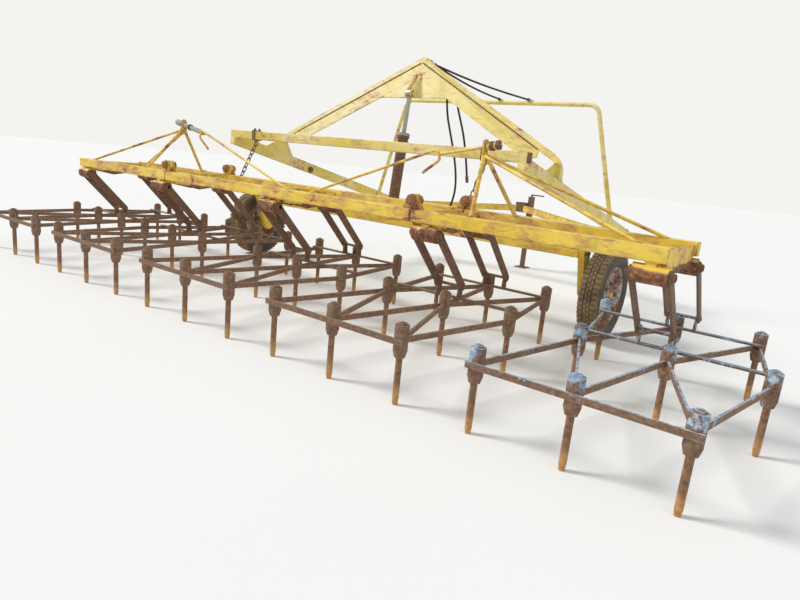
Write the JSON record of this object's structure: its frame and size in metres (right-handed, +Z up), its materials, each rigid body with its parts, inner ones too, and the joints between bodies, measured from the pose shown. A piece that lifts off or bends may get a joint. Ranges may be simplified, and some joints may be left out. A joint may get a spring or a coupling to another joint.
{
  "type": "trailed tine harrow with lift frame and folding wings",
  "caption": "Trailed tine harrow standing unfolded: two long beams, five zigzag tine leaves on swinging arms, an A-shaped lift gantry with a cylinder, two wheels and a drawbar.",
  "frame": {"origin": "on the ground under the middle of the machine's box", "axes": "+X along the harrow's beams to the right-hand wing seen from behind, +Y forwards to the hitch, +Z up"},
  "size_m": [6.552, 5.072, 2.0982],
  "materials": {
    "yellow_paint": "weathered satin",
    "hose_rubber": "dusty",
    "grey_pipe": "scuffed",
    "rusty_steel": "rusty",
    "rim_steel": "dusty",
    "tyre": "dusty",
    "chrome": "polished, a little dull",
    "leaf_steel": "rusty",
    "blue_worn_steel": "rust with worn blue paint",
    "tine_steel": "rusty, ground bright at the tips"
  },
  "bodies": {
    "chassis": {"axle_beam": "yellow_paint", "wheel_legs": "yellow_paint", "side_rails": "yellow_paint", "front_cross_tube": "yellow_paint", "drawbar_legs": "yellow_paint", "hitch_block": "rusty_steel", "jack_tube": "rusty_steel"},
    "wheel_left": {"tyre_left": "tyre", "rim_left": "rim_steel"},
    "wheel_right": {"tyre_right": "tyre", "rim_right": "rim_steel"},
    "jack": {"jack_leg": "rusty_steel"},
    "lift_frame": {"lift_cross_beam": "yellow_paint", "lift_arms": "yellow_paint", "gantry_legs": "yellow_paint", "peak_gusset": "yellow_paint", "hose_hoop": "yellow_paint", "hose_to_hoop_inner": "hose_rubber", "hose_to_hoop_outer": "hose_rubber", "hanging_hose_inner": "hose_rubber", "hanging_hose_outer": "hose_rubber", "hose_coupling_inner": "rusty_steel", "hose_coupling_outer": "rusty_steel"},
    "cylinder_barrel": {"cylinder_barrel": "rusty_steel"},
    "cylinder_rod": {"cylinder_rod": "chrome"},
    "harrow_centre": {"centre_beams": "yellow_paint", "centre_hangers": "yellow_paint", "tie_rods": "yellow_paint", "lift_chains": "rusty_steel"},
    "wing_left": {"wing_beams_left": "yellow_paint", "wing_hangers_left": "yellow_paint", "king_post_left": "yellow_paint", "stay_rods_left": "yellow_paint", "pipe_sleeve_left": "grey_pipe"},
    "wing_right": {"wing_beams_right": "yellow_paint", "wing_hangers_right": "yellow_paint", "king_post_right": "yellow_paint", "stay_rods_right": "yellow_paint"},
    "near_arms_1": {"near_arms_1": "rusty_steel"},
    "far_arms_1": {"far_arms_1": "rusty_steel"},
    "leaf_1": {"leaf_frame_1": "leaf_steel", "leaf_tines_1": "tine_steel"},
    "near_arms_2": {"near_arms_2": "rusty_steel"},
    "far_arms_2": {"far_arms_2": "rusty_steel"},
    "leaf_2": {"leaf_frame_2": "leaf_steel", "leaf_tines_2": "tine_steel"},
    "near_arms_3": {"near_arms_3": "rusty_steel"},
    "far_arms_3": {"far_arms_3": "rusty_steel"},
    "leaf_3": {"leaf_frame_3": "leaf_steel", "leaf_tines_3": "tine_steel"},
    "near_arms_4": {"near_arms_4": "rusty_steel"},
    "far_arms_4": {"far_arms_4": "rusty_steel"},
    "leaf_4": {"leaf_frame_4": "leaf_steel", "leaf_tines_4": "tine_steel"},
    "near_arms_5": {"near_arms_5": "rusty_steel"},
    "far_arms_5": {"far_arms_5": "rusty_steel"},
    "leaf_5": {"leaf_frame_5": "blue_worn_steel", "leaf_tines_5": "tine_steel"}
  },
  "joints": [
    {"name": "wheel_left_spin", "type": "hinge", "parent": "chassis", "child": "wheel_left", "pos_m": [-1.985, -0.244, 0.35], "axis": [1, 0, 0], "continuous": true},
    {"name": "wheel_right_spin", "type": "hinge", "parent": "chassis", "child": "wheel_right", "pos_m": [1.985, -0.244, 0.35], "axis": [1, 0, 0], "continuous": true},
    {"name": "jack_slide", "type": "slide", "parent": "chassis", "child": "jack", "axis": [0, 0, 1], "range_m": [0, 0.3]},
    {"name": "lift", "type": "hinge", "parent": "chassis", "child": "lift_frame", "pos_m": [0, 1.536, 0.67], "axis": [-1, 0, 0], "range_deg": [0, 9]},
    {"name": "harrow_level", "type": "hinge", "parent": "lift_frame", "child": "harrow_centre", "pos_m": [0, -0.944, 1.213], "axis": [-1, 0, 0], "range_deg": [-9, 0]},
    {"name": "cylinder_swing", "type": "hinge", "parent": "chassis", "child": "cylinder_barrel", "pos_m": [0, -0.364, 0.8], "axis": [-1, 0, 0], "range_deg": [0, 7.54]},
    {"name": "rod_slide", "type": "slide", "parent": "cylinder_barrel", "child": "cylinder_rod", "axis": [0, 0.0985, 0.9951], "range_m": [0, 0.29799]},
    {"name": "wing_left_fold", "type": "hinge", "parent": "harrow_centre", "child": "wing_left", "pos_m": [-1.279, -1.814, 0.95], "axis": [0, 1, 0], "range_deg": [0, 90]},
    {"name": "wing_right_fold", "type": "hinge", "parent": "harrow_centre", "child": "wing_right", "pos_m": [1.279, -1.814, 0.95], "axis": [0, -1, 0], "range_deg": [0, 90]},
    {"name": "leaf_1_float", "type": "hinge", "parent": "wing_left", "child": "near_arms_1", "pos_m": [-2.672, -1.814, 0.765], "axis": [1, 0, 0], "range_deg": [0, 10]},
    {"name": "leaf_1_level", "type": "hinge", "parent": "near_arms_1", "child": "leaf_1", "pos_m": [-2.672, -1.484, 0.43], "axis": [1, 0, 0], "range_deg": [-10, 0]},
    {"name": "far_arms_1_swing", "type": "hinge", "parent": "wing_left", "child": "far_arms_1", "pos_m": [-2.672, -1.206, 0.765], "axis": [1, 0, 0], "range_deg": [0, 10]},
    {"name": "leaf_2_float", "type": "hinge", "parent": "wing_left", "child": "near_arms_2", "pos_m": [-1.39, -1.814, 0.765], "axis": [1, 0, 0], "range_deg": [0, 10]},
    {"name": "leaf_2_level", "type": "hinge", "parent": "near_arms_2", "child": "leaf_2", "pos_m": [-1.39, -1.484, 0.43], "axis": [1, 0, 0], "range_deg": [-10, 0]},
    {"name": "far_arms_2_swing", "type": "hinge", "parent": "wing_left", "child": "far_arms_2", "pos_m": [-1.39, -1.206, 0.765], "axis": [1, 0, 0], "range_deg": [0, 10]},
    {"name": "leaf_3_float", "type": "hinge", "parent": "harrow_centre", "child": "near_arms_3", "pos_m": [0, -1.814, 0.765], "axis": [1, 0, 0], "range_deg": [0, 10]},
    {"name": "leaf_3_level", "type": "hinge", "parent": "near_arms_3", "child": "leaf_3", "pos_m": [0, -1.484, 0.43], "axis": [1, 0, 0], "range_deg": [-10, 0]},
    {"name": "far_arms_3_swing", "type": "hinge", "parent": "harrow_centre", "child": "far_arms_3", "pos_m": [0, -1.206, 0.765], "axis": [1, 0, 0], "range_deg": [0, 10]},
    {"name": "leaf_4_float", "type": "hinge", "parent": "wing_right", "child": "near_arms_4", "pos_m": [1.39, -1.814, 0.765], "axis": [1, 0, 0], "range_deg": [0, 10]},
    {"name": "leaf_4_level", "type": "hinge", "parent": "near_arms_4", "child": "leaf_4", "pos_m": [1.39, -1.484, 0.43], "axis": [1, 0, 0], "range_deg": [-10, 0]},
    {"name": "far_arms_4_swing", "type": "hinge", "parent": "wing_right", "child": "far_arms_4", "pos_m": [1.39, -1.206, 0.765], "axis": [1, 0, 0], "range_deg": [0, 10]},
    {"name": "leaf_5_float", "type": "hinge", "parent": "wing_right", "child": "near_arms_5", "pos_m": [2.672, -1.814, 0.765], "axis": [1, 0, 0], "range_deg": [0, 10]},
    {"name": "leaf_5_level", "type": "hinge", "parent": "near_arms_5", "child": "leaf_5", "pos_m": [2.672, -1.484, 0.43], "axis": [1, 0, 0], "range_deg": [-10, 0]},
    {"name": "far_arms_5_swing", "type": "hinge", "parent": "wing_right", "child": "far_arms_5", "pos_m": [2.672, -1.206, 0.765], "axis": [1, 0, 0], "range_deg": [0, 10]}
  ],
  "couplings": [
    {"joint": "harrow_level", "follows": "lift", "ratio": -1},
    {"joint": "cylinder_swing", "follows": "lift", "ratio": 0.83622},
    {"joint": "rod_slide", "follows": "lift", "m_per_rad": 1.8939},
    {"joint": "leaf_1_level", "follows": "leaf_1_float", "ratio": -1},
    {"joint": "far_arms_1_swing", "follows": "leaf_1_float", "ratio": 1},
    {"joint": "leaf_2_level", "follows": "leaf_2_float", "ratio": -1},
    {"joint": "far_arms_2_swing", "follows": "leaf_2_float", "ratio": 1},
    {"joint": "leaf_3_level", "follows": "leaf_3_float", "ratio": -1},
    {"joint": "far_arms_3_swing", "follows": "leaf_3_float", "ratio": 1},
    {"joint": "leaf_4_level", "follows": "leaf_4_float", "ratio": -1},
    {"joint": "far_arms_4_swing", "follows": "leaf_4_float", "ratio": 1},
    {"joint": "leaf_5_level", "follows": "leaf_5_float", "ratio": -1},
    {"joint": "far_arms_5_swing", "follows": "leaf_5_float", "ratio": 1}
  ]
}
